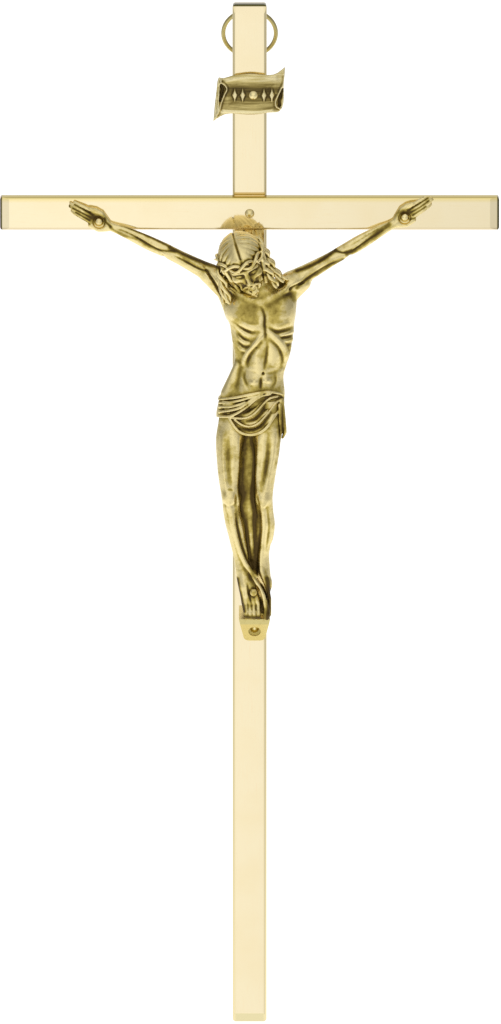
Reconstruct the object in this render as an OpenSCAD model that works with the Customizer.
// Wall crucifix: two flat brass bars riveted crosswise, a cast figure riveted through its palms
// with its feet on a small rest, a scroll plate above, and a hanging ring in a folded tab behind.
// +Z is up, the front faces -Y, and the origin is on the upright's back face at the crossing.

/* [Bars] */
// Height of the upright
upright_h = 254; // [200:1:400]
// Length of the crossbar
crossbar_l = 121; // [100:1:200]
// Width of both bars
bar_w = 8.3; // [7:0.1:12]
// Thickness of both bars
bar_t = 3; // [2:0.1:5]
// Radius along the long edges of the bars
bar_edge_r = 0.7; // [0.3:0.05:0.9]
// Radius of the corners of the bar ends, seen from the front
bar_corner_r = 0.8; // [0.3:0.1:2]
// Length of the shallow bevel at each bar end
end_bevel_l = 2.2; // [1:0.1:4]
// Depth that the bevel drops at the end of the bar
end_bevel_drop = 0.35; // [0.1:0.05:0.6]
// Distance from the top of the upright down to the middle of the crossbar
crossing_drop = 51.1; // [45:0.1:90]

/* [Rivets] */
// Radius of a rivet's domed head
rivet_head_r = 1.15; // [0.9:0.05:1.3]
// Height of a rivet's domed head
rivet_head_h = 0.65; // [0.4:0.05:1]
// Radius of a rivet's shank
rivet_shank_r = 0.6; // [0.4:0.05:0.8]
// Radius of the upset tail, flush with the back of what it holds
rivet_tail_r = 0.95; // [0.85:0.05:1.3]
// Depth of the countersink that the tail fills
rivet_tail_h = 0.6; // [0.3:0.05:1]
// Radial clearance between a rivet and its hole
rivet_gap = 0.04; // [0.02:0.01:0.1]

/* [Figure] */
// Drop from the middle of the crossbar to the soles of the figure
figure_h = 100; // [80:1:130]
// Height of the head, from the chin to the top of the hair
head_h = 13; // [11:0.1:15]
// Tilt of the head towards the viewer's left, in degrees
head_roll = 20; // [0:1:30]
// Bow of the head towards the front, in degrees
head_bow = 26; // [0:1:40]
// Distance of the left palm's rivet from the middle of the upright, as the viewer sees it
left_palm_x = 36.5; // [30:0.1:50]
// Drop of the left palm's rivet below the middle of the crossbar
left_palm_drop = 1.9; // [0:0.1:2]
// Distance of the right palm's rivet from the middle of the upright
right_palm_x = 37.6; // [30:0.1:50]
// Drop of the right palm's rivet below the middle of the crossbar
right_palm_drop = 0.8; // [0:0.1:2]
// Outer radius of the palm around its rivet
palm_r = 2.3; // [2.1:0.1:3]
// Thickness of the palm
palm_t = 1.5; // [1.3:0.1:2.5]
// Radius of the recess in the palm that the rivet's head sits in
palm_recess_r = 1.55; // [1.4:0.05:1.8]
// Thickness of metal left under the rivet's head in the palm
palm_seat_t = 0.6; // [0.4:0.1:1]
// Length of the fingers beyond the palm
finger_l = 5.8; // [4:0.1:8]
// Radius of a finger
finger_r = 0.48; // [0.4:0.02:0.7]
// Distance between the middles of two fingers
finger_pitch = 0.78; // [0.6:0.02:1.2]

/* [Footrest] */
// Width of the footrest at its top
footrest_w = 7.6; // [6:0.1:9]
// Width of the footrest at its foot
footrest_low_w = 5.4; // [4:0.1:6]
// Height of the footrest
footrest_h = 6.6; // [5.5:0.1:9]
// Depth of the footrest's ledge beyond the crossbar's face
footrest_reach = 4.4; // [3:0.1:7]
// Height of the ledge's upright front edge
footrest_lip_h = 1.3; // [0.6:0.1:2]
// Depth of the footrest at its lower edge
footrest_low_t = 2; // [1:0.1:3]
// Distance of the footrest's middle from the middle of the upright
footrest_x = 1.2; // [-1.5:0.1:1.5]
// Radius of the recess for the foot rivet's head
footrest_recess_r = 1.5; // [1.4:0.05:1.8]
// Thickness of metal left under the foot rivet's head
footrest_seat_t = 1.4; // [0.8:0.1:2]

/* [Scroll plate] */
// Width of the scroll plate between its folds
scroll_w = 16; // [12:0.5:22]
// Height of the scroll plate
scroll_h = 9.6; // [7:0.1:14]
// Thickness of the scroll plate
scroll_t = 0.7; // [0.5:0.05:1.2]
// Depth of the wave that the plate is bent to
scroll_wave = 1; // [0.4:0.1:1.6]
// Height of the boss between the plate and the upright
scroll_boss_h = 0.9; // [0.5:0.1:2]
// Radius of that boss
scroll_boss_r = 1.7; // [1.4:0.1:2.5]
// Height of the scroll's rivet above the middle of the crossbar
scroll_rise = 29; // [20:0.1:40]
// Distance of the scroll's rivet from the middle of the upright
scroll_x = 0.9; // [-1.5:0.1:1.5]
// Height of the raised ornament on the scroll plate
scroll_relief = 0.2; // [0.1:0.05:0.4]

/* [Hanger] */
// Outer diameter of the hanging ring
ring_d = 13.8; // [11:0.1:20]
// Diameter of the ring's wire
wire_d = 1.05; // [0.8:0.05:1.5]
// Lean of the ring away from the upright at rest, in degrees
ring_lean = 20; // [0:1:60]
// Width of the slit where the ring's wire ends meet
ring_slit = 0.15; // [0.05:0.05:0.5]
// Distance from the top of the upright down to the ring's pivot
pivot_drop = 2.4; // [1.5:0.1:6]
// Width of the folded tab that holds the ring
tab_w = 2.4; // [1.6:0.1:3]
// Thickness of the tab's strip
tab_t = 0.5; // [0.3:0.05:0.8]
// Length of the tab's flat legs below its loop
tab_leg_l = 5.5; // [3:0.1:9]
// Least clearance between the ring's wire and the tab's loop
ring_gap = 0.1; // [0.08:0.01:0.2]

/* [Hidden] */
round_fn = 48;
cut = 0.5;
top_z = crossing_drop;
foot_z = crossing_drop - upright_h;
face_y = -bar_t;
cross_face_y = -2 * bar_t;
left_palm = [-left_palm_x, cross_face_y, -left_palm_drop];
right_palm = [right_palm_x, cross_face_y, -right_palm_drop];
sole_z = -figure_h;
foot_rivet_share = 0.55;
foot_rivet_z = sole_z - footrest_h * foot_rivet_share;
scroll_back_y = face_y - scroll_boss_h;
scroll_seat_y = scroll_back_y - scroll_t;
wire_r = wire_d / 2;
ring_r = ring_d / 2 - wire_r;
wire_sag = ring_r - sqrt(ring_r * ring_r - tab_w * tab_w / 4);
loop_r = wire_r + wire_sag + ring_gap;
pivot_y = loop_r + tab_t;
pivot_z = top_z - pivot_drop;

// Rows of the figure: x, depth in front of the crossbar's face, z, half width, half depth.
// All are shares of figure_h.
torso_shares = [
    [0.021, 0.046, -0.140, 0.026, 0.024], [0.020, 0.042, -0.160, 0.058, 0.029],
    [0.023, 0.043, -0.178, 0.080, 0.036], [0.027, 0.045, -0.205, 0.080, 0.041],
    [0.031, 0.047, -0.255, 0.076, 0.042], [0.032, 0.047, -0.300, 0.071, 0.040],
    [0.030, 0.044, -0.335, 0.064, 0.036], [0.026, 0.041, -0.365, 0.060, 0.033],
    [0.017, 0.041, -0.402, 0.068, 0.035], [0.007, 0.042, -0.442, 0.078, 0.037],
    [0.002, 0.043, -0.490, 0.081, 0.038], [0.000, 0.043, -0.520, 0.070, 0.034]];
left_leg_shares = [
    [-0.043, 0.044, -0.480, 0.037, 0.036], [-0.050, 0.046, -0.550, 0.034, 0.035],
    [-0.051, 0.050, -0.600, 0.029, 0.031], [-0.052, 0.054, -0.650, 0.024, 0.026],
    [-0.047, 0.057, -0.694, 0.023, 0.026], [-0.043, 0.051, -0.725, 0.022, 0.023],
    [-0.037, 0.046, -0.760, 0.024, 0.025], [-0.029, 0.042, -0.800, 0.021, 0.021],
    [-0.020, 0.040, -0.843, 0.017, 0.017], [-0.012, 0.041, -0.885, 0.015, 0.016],
    [0.000, 0.047, -0.918, 0.018, 0.019], [0.018, 0.050, -0.952, 0.021, 0.016],
    [0.031, 0.048, -0.984, 0.021, 0.011]];
right_leg_shares = [
    [0.044, 0.042, -0.480, 0.037, 0.036], [0.044, 0.044, -0.550, 0.033, 0.034],
    [0.043, 0.046, -0.593, 0.028, 0.030], [0.039, 0.050, -0.645, 0.024, 0.026],
    [0.036, 0.052, -0.694, 0.021, 0.024], [0.038, 0.046, -0.730, 0.020, 0.022],
    [0.039, 0.040, -0.765, 0.022, 0.023], [0.036, 0.032, -0.800, 0.019, 0.020],
    [0.033, 0.025, -0.840, 0.015, 0.016], [0.035, 0.022, -0.875, 0.015, 0.016],
    [0.036, 0.022, -0.908, 0.017, 0.019], [0.022, 0.024, -0.945, 0.020, 0.015],
    [0.004, 0.029, -0.984, 0.022, 0.011]];
// Thin web of metal that joins the legs behind.
web_shares = [
    [0.000, 0.026, -0.500, 0.042, 0.005], [-0.004, 0.032, -0.600, 0.044, 0.005],
    [-0.005, 0.040, -0.690, 0.039, 0.005], [0.000, 0.035, -0.750, 0.036, 0.005],
    [0.004, 0.029, -0.800, 0.030, 0.005], [0.009, 0.026, -0.855, 0.020, 0.005],
    [0.011, 0.026, -0.892, 0.013, 0.005]];
// Rows of an arm: share of the way from shoulder to palm, then bow, depth, half width and
// half depth as shares of figure_h.
arm_shares = [
    [-0.13, -0.006, 0.034, 0.022, 0.022], [0, 0, 0.032, 0.024, 0.024],
    [0.16, 0.001, 0.028, 0.020, 0.021], [0.36, 0.005, 0.024, 0.017, 0.018],
    [0.48, 0.006, 0.021, 0.018, 0.018], [0.60, 0.006, 0.018, 0.017, 0.017],
    [0.78, 0.004, 0.014, 0.013, 0.013], [0.89, 0.002, 0.010, 0.011, 0.010],
    [0.98, 0, 0.007, 0.014, 0.008]];
left_shoulder_share = [-0.066, -0.155];
right_shoulder_share = [0.101, -0.162];
// Swellings of the body: middle, then half sizes, in shares of figure_h.
swelling_shares = [
    [[-0.010, 0.058, -0.218], [0.044, 0.036, 0.036]], [[0.064, 0.057, -0.220], [0.042, 0.036, 0.036]],
    [[0.020, 0.052, -0.385], [0.034, 0.029, 0.050]]];
neck_shares = [
    [0.023, 0.046, -0.170, 0.026, 0.022], [0.015, 0.064, -0.145, 0.022, 0.022],
    [0.002, 0.084, -0.114, 0.024, 0.024]];
head_share = [-0.0175, 0.100, -0.0925];
// Edge of the rib cage, from the breastbone down each side.
rib_shares = [
    [[0.030, 0.086, -0.272], [0.013, 0.086, -0.300], [0.000, 0.079, -0.330], [-0.012, 0.066, -0.362]],
    [[0.034, 0.086, -0.272], [0.051, 0.084, -0.295], [0.066, 0.076, -0.322], [0.078, 0.062, -0.352]]];
rib_r_share = 0.006;
// Locks of hair on both sides of the head, falling to the shoulders.
lock_shares = [
    [[-0.065, 0.088, -0.086], [-0.071, 0.092, -0.126], [-0.059, 0.092, -0.166], [-0.049, 0.085, -0.200]],
    [[-0.063, 0.070, -0.092], [-0.070, 0.074, -0.136], [-0.065, 0.074, -0.174], [-0.060, 0.068, -0.204]],
    [[0.026, 0.090, -0.062], [0.046, 0.088, -0.102], [0.063, 0.082, -0.138], [0.080, 0.075, -0.172]],
    [[0.023, 0.107, -0.076], [0.042, 0.105, -0.114], [0.054, 0.098, -0.146], [0.066, 0.088, -0.180]],
    [[0.032, 0.072, -0.070], [0.053, 0.070, -0.116], [0.071, 0.067, -0.145], [0.087, 0.066, -0.165]]];
lock_r_share = 0.013;
// Folds of the loincloth: start x, end x, start z, end z, sag and radius.
fold_shares = [
    [-0.080, 0.080, -0.452, -0.440, 0.004, 0.010], [-0.083, 0.070, -0.470, -0.442, 0.006, 0.009],
    [-0.084, 0.050, -0.488, -0.450, 0.004, 0.009], [-0.084, 0.000, -0.503, -0.484, 0.000, 0.010],
    [-0.074, 0.082, -0.500, -0.450, 0.014, 0.009], [-0.070, 0.083, -0.500, -0.456, 0.030, 0.009],
    [-0.066, 0.084, -0.502, -0.464, 0.046, 0.010]];
cloth_shares = [
    [0.007, 0.043, -0.436, 0.076, 0.034], [0.006, 0.043, -0.446, 0.083, 0.041],
    [0.003, 0.044, -0.470, 0.085, 0.043], [0.001, 0.045, -0.495, 0.086, 0.043],
    [0.008, 0.047, -0.515, 0.072, 0.042], [0.006, 0.048, -0.532, 0.050, 0.040]];
tail_shares = [
    [0.078, 0.060, -0.448, 0.010, 0.012], [0.084, 0.056, -0.480, 0.012, 0.014],
    [0.085, 0.052, -0.515, 0.012, 0.013], [0.082, 0.050, -0.546, 0.008, 0.009]];
nail_share = [0.012, 0.070, -0.940];
nail_r_share = 0.010;
// Toes of each foot: middle of the row, sideways step and drop per toe, radius.
front_toe_shares = [[0.0310, 0.050, -0.978], [0.0088, 0, 0.0014], 0.0062];
back_toe_shares = [[0.0040, 0.031, -0.978], [-0.0088, 0, 0.0014], 0.0062];
toe_l_share = 0.020;

// Outline of the scroll plate from the front, in shares of its width and height.
scroll_outline_shares = [
    [-0.53, 0.47], [-0.48, 0.44], [-0.30, 0.50], [0, 0.53], [0.18, 0.51], [0.32, 0.50], [0.40, 0.58],
    [0.485, 0.73], [0.475, 0.35], [0.46, -0.10], [0.445, -0.32], [0.40, -0.41], [0.18, -0.44],
    [-0.02, -0.48], [-0.34, -0.46], [-0.44, -0.48], [-0.53, -0.55], [-0.605, -0.64], [-0.62, -0.55],
    [-0.58, -0.08], [-0.55, 0.35]];
lozenge_shares = [-0.38, -0.20, 0.20, 0.38];
lozenge_size_shares = [0.055, 0.20];

function unit(v) = v / norm(v);
function body_point(p) = [p[0] * figure_h, cross_face_y - p[1] * figure_h, p[2] * figure_h];
function body_rows(shares) = [for (s = shares) concat(body_point(s), [s[3] * figure_h, s[4] * figure_h])];

// Smooth curve through rows of numbers, with so many steps from each row to the next.
function blend(a, b, c, d, t) =
    0.5 * (2 * b + (c - a) * t + (2 * a - 5 * b + 4 * c - d) * t * t
           + (3 * b - a - 3 * c + d) * t * t * t);
function smooth(rows, steps) = let (last = len(rows) - 1) concat(
    [for (i = [0 : last - 1], k = [0 : steps - 1])
        blend(rows[max(i - 1, 0)], rows[i], rows[i + 1], rows[min(i + 2, last)], k / steps)],
    [rows[last]]);

// One ring of points square to the path at row i, with its first point square to up as well.
function place(row) = [row[0], row[1], row[2]];
function ring_points(rows, i, sides, up, closed) = let (
    n = len(rows),
    before = rows[closed ? (i + n - 1) % n : max(i - 1, 0)],
    after = rows[closed ? (i + 1) % n : min(i + 1, n - 1)],
    along = unit(place(after) - place(before)),
    across = unit(cross(along, up)),
    deep = cross(across, along))
    [for (k = [0 : sides - 1]) place(rows[i]) + across * rows[i][3] * cos(360 * k / sides)
        + deep * rows[i][4] * sin(360 * k / sides)];

// Tube of oval rings along rows of x, y, z, half width and half depth, with flat ends or closed
// to a loop.
module sweep(rows, sides, up = [0, 1, 0], closed = false) {
    n = len(rows);
    points = [for (i = [0 : n - 1]) each ring_points(rows, i, sides, up, closed)];
    wall = [for (i = [0 : closed ? n - 1 : n - 2], k = [0 : sides - 1])
        each let (j = (i + 1) % n * sides, next = (k + 1) % sides)
            [[i * sides + k, i * sides + next, j + next], [i * sides + k, j + next, j + k]]];
    ends = closed ? []
        : [[for (k = [sides - 1 : -1 : 0]) k], [for (k = [0 : sides - 1]) (n - 1) * sides + k]];
    polyhedron(points, concat(wall, ends));
}

// Flat bar from z = 0 to l, centred on x, with its back at y = 0.
module bar(l) {
    intersection() {
        linear_extrude(l) translate([0, -bar_t / 2]) soft_square(bar_w, bar_t, bar_edge_r);
        translate([0, cut, l / 2]) rotate([90, 0, 0]) linear_extrude(bar_t + 2 * cut)
            soft_square(bar_w, l, bar_corner_r);
        translate([-bar_w / 2 - cut, 0, 0]) rotate([90, 0, 90]) linear_extrude(bar_w + 2 * cut)
            polygon([[0, 0], [0, l], [end_bevel_drop - bar_t, l], [-bar_t, l - end_bevel_l],
                     [-bar_t, end_bevel_l], [end_bevel_drop - bar_t, 0]]);
    }
}

// Rectangle with round corners, centred.
module soft_square(w, h, r) {
    square([w - 2 * r, h], center = true);
    square([w, h - 2 * r], center = true);
    for (x = [-1, 1], y = [-1, 1])
        translate([x * (w / 2 - r), y * (h / 2 - r)]) circle(r, $fn = round_fn);
}

// Rivet whose head rests on the plane y = 0 and whose tail ends flush, grip behind it.
module rivet(grip) {
    ball_r = (rivet_head_r * rivet_head_r + rivet_head_h * rivet_head_h) / (2 * rivet_head_h);
    rotate([90, 0, 0]) {
        intersection() {
            translate([0, 0, rivet_head_h - ball_r]) sphere(ball_r, $fn = round_fn);
            cylinder(h = rivet_head_h, r = rivet_head_r, $fn = round_fn);
        }
        translate([0, 0, -grip]) cylinder(h = grip + rivet_head_h / 2, r = rivet_shank_r, $fn = round_fn);
        translate([0, 0, -grip])
            cylinder(h = rivet_tail_h, r1 = rivet_tail_r, r2 = rivet_shank_r, $fn = round_fn);
    }
}

// Straight hole for a rivet's shank, from y = 0 back by depth.
module shank_hole(depth) {
    rotate([-90, 0, 0]) translate([0, 0, -cut])
        cylinder(h = depth + 2 * cut, r = rivet_shank_r + rivet_gap, $fn = round_fn);
}

// Countersink for a rivet's tail, its mouth at y = 0.
module tail_hole() {
    slope = (rivet_tail_r - rivet_shank_r) / rivet_tail_h;
    rotate([-90, 0, 0]) translate([0, 0, -rivet_tail_h])
        cylinder(h = rivet_tail_h + cut, r1 = rivet_shank_r + rivet_gap,
                 r2 = rivet_tail_r + rivet_gap + slope * cut, $fn = round_fn);
}

module upright() {
    color([0.93, 0.83, 0.58]) difference() {
        translate([0, 0, foot_z]) bar(upright_h);
        for (p = [[0, 0], [footrest_x, foot_rivet_z], [scroll_x, scroll_rise]])
            translate([p[0], face_y, p[1]]) {
                shank_hole(bar_t);
                translate([0, bar_t, 0]) tail_hole();
            }
    }
}

module crossbar() {
    color([0.93, 0.83, 0.58]) difference() {
        translate([-crossbar_l / 2, face_y, 0]) rotate([0, 90, 0]) bar(crossbar_l);
        translate([0, cross_face_y, 0]) shank_hole(bar_t);
        for (p = [left_palm, right_palm])
            translate(p) {
                shank_hole(bar_t);
                translate([0, bar_t, 0]) tail_hole();
            }
    }
}

module crossing_rivet() {
    color([0.85, 0.70, 0.35]) translate([0, cross_face_y, 0]) rivet(2 * bar_t);
}

module left_palm_rivet() {
    color([0.85, 0.70, 0.35]) translate(left_palm - [0, palm_seat_t, 0]) rivet(bar_t + palm_seat_t);
}

module right_palm_rivet() {
    color([0.85, 0.70, 0.35]) translate(right_palm - [0, palm_seat_t, 0]) rivet(bar_t + palm_seat_t);
}

// Arm from the shoulder to the palm's rivet.
function arm_rows(shoulder, palm, raise) = let (from = [shoulder[0], cross_face_y, shoulder[1]])
    [for (s = arm_shares) let (at = from + (palm - from) * s[0])
        [at[0], cross_face_y - s[2] * figure_h, at[2] + s[1] * raise * figure_h,
         s[3] * figure_h, s[4] * figure_h]];

// Hand around its rivet, lying in the plane y = 0, with its fingers towards +X.
module hand() {
    finger_share = [0.90, 1, 0.96, 0.80];
    knuckle_x = palm_r * 0.55;
    rotate([90, 0, 0]) cylinder(h = palm_t, r = palm_r, $fn = 20);
    for (i = [0 : 3]) {
        z = (1.5 - i) * finger_pitch;
        l = finger_l * finger_share[i];
        sweep(smooth([
            [knuckle_x, -palm_t / 2, z * 1.1, finger_r, palm_t / 2],
            [palm_r + l * 0.35, -palm_t * 0.75, z, finger_r, finger_r * 1.2],
            [palm_r + l * 0.70, -palm_t * 0.85, z * 0.9, finger_r * 0.95, finger_r],
            [palm_r + l * 0.92, -palm_t * 0.70, z * 0.85, finger_r * 0.8, finger_r * 0.8],
            [palm_r + l, -palm_t * 0.60, z * 0.85, finger_r * 0.3, finger_r * 0.3]], 1), 4);
    }
    sweep([
        [-palm_r * 0.2, -palm_t * 0.6, palm_r * 0.75, finger_r, finger_r * 1.2],
        [palm_r * 0.7, -palm_t * 0.9, palm_r * 0.95, finger_r * 1.1, finger_r * 1.1],
        [palm_r * 1.3, -palm_t, palm_r * 0.80, finger_r, finger_r],
        [palm_r * 1.6, -palm_t, palm_r * 0.65, finger_r * 0.35, finger_r * 0.35]], 4);
}

// Recess and shank hole through a palm, from the plane y = 0 forward.
module palm_hole() {
    rotate([90, 0, 0]) {
        translate([0, 0, palm_seat_t]) cylinder(h = figure_h, r = palm_recess_r, $fn = 20);
        translate([0, 0, -cut]) cylinder(h = palm_t + 2 * cut, r = rivet_shank_r + 2 * rivet_gap, $fn = 16);
    }
}

// Ball stretched to half sizes, at a point of the body.
module swelling(middle, half) {
    translate(body_point(middle)) scale(half * figure_h) sphere(1, $fn = 12);
}

// Twisted crown: two strands winding round each other along an oval around the head.
module crown(rx, ry) {
    turns = 6;
    steps = 24;
    strand_r = head_h * 0.036;
    wind_r = strand_r * 0.7;
    for (phase = [0, 180])
        sweep([for (i = [0 : steps - 1]) let (a = 360 * i / steps, b = turns * a + phase)
            [(rx + wind_r * cos(b)) * cos(a), (ry + wind_r * cos(b)) * sin(a),
             wind_r * 1.8 * sin(b), strand_r, strand_r]], 4, [0, 0, 1], true);
}

// Head about its middle, facing -Y, with hair, a short beard and the crown.
module head() {
    unit_h = head_h / 2;
    translate([0, unit_h * 0.10, unit_h * 0.22])
        scale([unit_h * 0.80, unit_h * 0.90, unit_h * 0.80]) sphere(1, $fn = 16);
    translate([0, -unit_h * 0.20, -unit_h * 0.22])
        scale([unit_h * 0.56, unit_h * 0.62, unit_h * 0.74]) sphere(1, $fn = 14);
    for (side = [-1, 1]) {
        hull() {
            translate([side * unit_h * 0.14, -unit_h * 0.78, unit_h * 0.02]) sphere(unit_h * 0.07, $fn = 6);
            translate([side * unit_h * 0.38, -unit_h * 0.66, unit_h * 0.04]) sphere(unit_h * 0.07, $fn = 6);
        }
        hull() {
            translate([side * unit_h * 0.60, -unit_h * 0.20, unit_h * 0.20]) sphere(unit_h * 0.22, $fn = 8);
            translate([side * unit_h * 0.56, unit_h * 0.10, -unit_h * 0.75]) sphere(unit_h * 0.20, $fn = 8);
        }
    }
    hull() {
        translate([0, -unit_h * 0.80, -unit_h * 0.04]) sphere(unit_h * 0.06, $fn = 6);
        translate([0, -unit_h * 0.92, -unit_h * 0.32]) sphere(unit_h * 0.09, $fn = 8);
    }
    hull() {
        translate([0, -unit_h * 0.62, -unit_h * 0.72]) sphere(unit_h * 0.24, $fn = 10);
        translate([0, -unit_h * 0.52, -unit_h * 0.95]) sphere(unit_h * 0.14, $fn = 8);
    }
    translate([0, unit_h * 0.05, unit_h * 0.24]) rotate([-6, 0, 0]) crown(unit_h * 0.80, unit_h * 0.90);
}

// Path of a cloth fold that lies on the front half of the hips.
function fold_rows(f) = let (hip = cloth_shares[2], steps = 4)
    [for (i = [0 : steps]) let (t = i / steps, x = f[0] + (f[1] - f[0]) * t,
        lean = (x - hip[0]) / (hip[3] + f[5] / 2),
        taper = sin(20 + 140 * t))
        concat(body_point([x, hip[1] + hip[4] * sqrt(max(0, 1 - lean * lean)),
                           f[2] + (f[3] - f[2]) * t - 4 * f[4] * t * (1 - t)]),
               [f[5] * taper * figure_h, f[5] * taper * figure_h])];

// Row of five toes, each a short capsule that ends on the footrest's ledge.
module toes(row) {
    for (i = [-2 : 2]) {
        foot = [row[0][0] + row[1][0] * i / 2, row[0][1] + row[1][1] * i / 2, row[0][2] - row[1][2] * i];
        hull() {
            translate(body_point(foot)) sphere(row[2] * figure_h, $fn = 6);
            translate(body_point(foot - [0, 0, toe_l_share])) sphere(row[2] * figure_h * 0.9, $fn = 6);
        }
    }
}

module corpus() {
    color([0.70, 0.58, 0.30]) difference() {
        union() {
            sweep(body_rows(torso_shares), 18);
            sweep(body_rows(neck_shares), 10);
            sweep(body_rows(left_leg_shares), 10);
            sweep(body_rows(right_leg_shares), 10);
            sweep(body_rows(web_shares), 8);
            sweep(body_rows(cloth_shares), 18);
            sweep(body_rows(tail_shares), 8);
            sweep(smooth(arm_rows(left_shoulder_share * figure_h, left_palm, 1), 1), 10);
            sweep(smooth(arm_rows(right_shoulder_share * figure_h, right_palm, 0), 1), 10);
            for (s = swelling_shares) swelling(s[0], s[1]);
            for (r = rib_shares)
                sweep(smooth([for (p = r) concat(body_point(p), [rib_r_share, rib_r_share] * figure_h)], 1), 5);
            for (l = lock_shares)
                sweep(smooth([for (i = [0 : 3]) concat(body_point(l[i]),
                    [1, 1] * lock_r_share * figure_h * (1 - 0.18 * i))], 1), 5);
            for (f = fold_shares) sweep(fold_rows(f), 4);
            translate(body_point(head_share)) rotate([head_bow, -head_roll, 0]) head();
            translate(left_palm) rotate([0, 31, 0]) mirror([1, 0, 0]) hand();
            translate(right_palm) rotate([0, -36, 0]) hand();
            toes(front_toe_shares);
            toes(back_toe_shares);
            translate(body_point(nail_share)) sphere(nail_r_share * figure_h, $fn = 10);
        }
        translate([-figure_h, cross_face_y, -2 * figure_h]) cube([2 * figure_h, figure_h, 3 * figure_h]);
        translate([-figure_h, cross_face_y - figure_h, -2 * figure_h]) cube([2 * figure_h, 2 * figure_h, figure_h]);
        translate(left_palm) palm_hole();
        translate(right_palm) palm_hole();
    }
}

// Front outline of the footrest, hanging from z = 0.
module footrest_front() {
    low_r = footrest_low_w / 4;
    steps = 6;
    right = [for (i = [0 : steps]) let (a = 90 * i / steps)
        [footrest_low_w / 2 - low_r + low_r * cos(a), low_r - footrest_h - low_r * sin(a)]];
    left = [for (i = [steps : -1 : 0]) [-right[i][0], right[i][1]]];
    polygon(concat([[-footrest_w / 2, 0], [footrest_w / 2, 0]], right, left));
}

module footrest() {
    depth = bar_t + footrest_reach;
    color([0.92, 0.76, 0.38]) difference() {
        translate([footrest_x, face_y, sole_z]) intersection() {
            translate([0, cut, 0]) rotate([90, 0, 0]) linear_extrude(depth + 2 * cut) footrest_front();
            translate([-footrest_w / 2 - cut, 0, 0]) rotate([90, 0, 90]) linear_extrude(footrest_w + 2 * cut)
                polygon([[0, 0], [-depth, 0], [-depth, -footrest_lip_h],
                         [-footrest_low_t, -footrest_h], [0, -footrest_h]]);
        }
        translate([footrest_x, face_y, foot_rivet_z]) {
            shank_hole(cut);
            rotate([90, 0, 0]) {
                cylinder(h = depth, r = rivet_shank_r + rivet_gap, $fn = round_fn);
                translate([0, 0, footrest_seat_t]) cylinder(h = depth, r = footrest_recess_r, $fn = round_fn);
            }
        }
    }
}

module foot_rivet() {
    color([0.85, 0.70, 0.35]) translate([footrest_x, face_y - footrest_seat_t, foot_rivet_z])
        rivet(bar_t + footrest_seat_t);
}

// How far the scroll plate's back stands in front of its lowest line, at x.
function scroll_lift(x) = scroll_wave * (0.5 + 0.5 * cos(360 * x / scroll_w * 0.8));

module scroll_plate() {
    reach = scroll_w * 0.65;
    steps = 40;
    xs = [for (i = [0 : steps]) -reach + 2 * reach * i / steps];
    back = [for (x = xs) [x, scroll_wave - scroll_lift(x)]];
    front = [for (i = [steps : -1 : 0]) [back[i][0], back[i][1] - scroll_t]];
    color([0.62, 0.52, 0.28]) translate([scroll_x, scroll_back_y, scroll_rise]) difference() {
        union() {
            intersection() {
                translate([0, 0, -scroll_h]) linear_extrude(2 * scroll_h) polygon(concat(back, front));
                translate([0, 2 * scroll_wave, 0]) rotate([90, 0, 0]) linear_extrude(4 * scroll_wave + scroll_t)
                    polygon([for (p = scroll_outline_shares) [p[0] * scroll_w, p[1] * scroll_h]]);
            }
            for (share = lozenge_shares)
                let (x = share * scroll_w, w = lozenge_size_shares[0] * scroll_w,
                     h = lozenge_size_shares[1] * scroll_h)
                    translate([x, scroll_wave - scroll_lift(x) - scroll_t / 2, 0]) rotate([90, 0, 0])
                        linear_extrude(scroll_t / 2 + scroll_relief) polygon([[-w, 0], [0, h], [w, 0], [0, -h]]);
            rotate([-90, 0, 0]) translate([0, 0, -scroll_t / 2])
                cylinder(h = scroll_boss_h + scroll_t / 2, r = scroll_boss_r, $fn = round_fn);
        }
        translate([0, -scroll_t - cut, 0]) rotate([-90, 0, 0])
            cylinder(h = scroll_t + scroll_boss_h + 2 * cut, r = rivet_shank_r + rivet_gap, $fn = round_fn);
        translate([0, -scroll_t, 0]) rotate([90, 0, 0]) cylinder(h = cut, r = rivet_head_r, $fn = round_fn);
    }
}

module scroll_rivet() {
    color([0.85, 0.70, 0.35]) translate([scroll_x, scroll_seat_y, scroll_rise])
        rivet(bar_t + scroll_boss_h + scroll_t);
}

module hanger_tab() {
    color([0.88, 0.74, 0.42]) translate([-tab_w / 2, pivot_y, pivot_z]) rotate([90, 0, 90])
        linear_extrude(tab_w) difference() {
            union() {
                circle(loop_r + tab_t, $fn = round_fn);
                translate([-pivot_y, -loop_r - tab_leg_l]) square([2 * tab_t, loop_r + tab_leg_l]);
            }
            circle(loop_r, $fn = round_fn);
        }
}

module hanger_ring() {
    slit_angle = 2 * asin(ring_slit / 2 / ring_r);
    color([0.88, 0.74, 0.42]) translate([0, pivot_y, pivot_z]) rotate([ring_lean, 0, 0])
        translate([0, 0, -ring_r]) rotate([90, 0, 0]) rotate([0, 0, -90 + slit_angle / 2])
            rotate_extrude(angle = 360 - slit_angle, $fn = 96)
                translate([ring_r, 0]) circle(wire_r, $fn = round_fn);
}

upright();
crossbar();
crossing_rivet();
corpus();
left_palm_rivet();
right_palm_rivet();
footrest();
foot_rivet();
scroll_plate();
scroll_rivet();
hanger_tab();
hanger_ring();
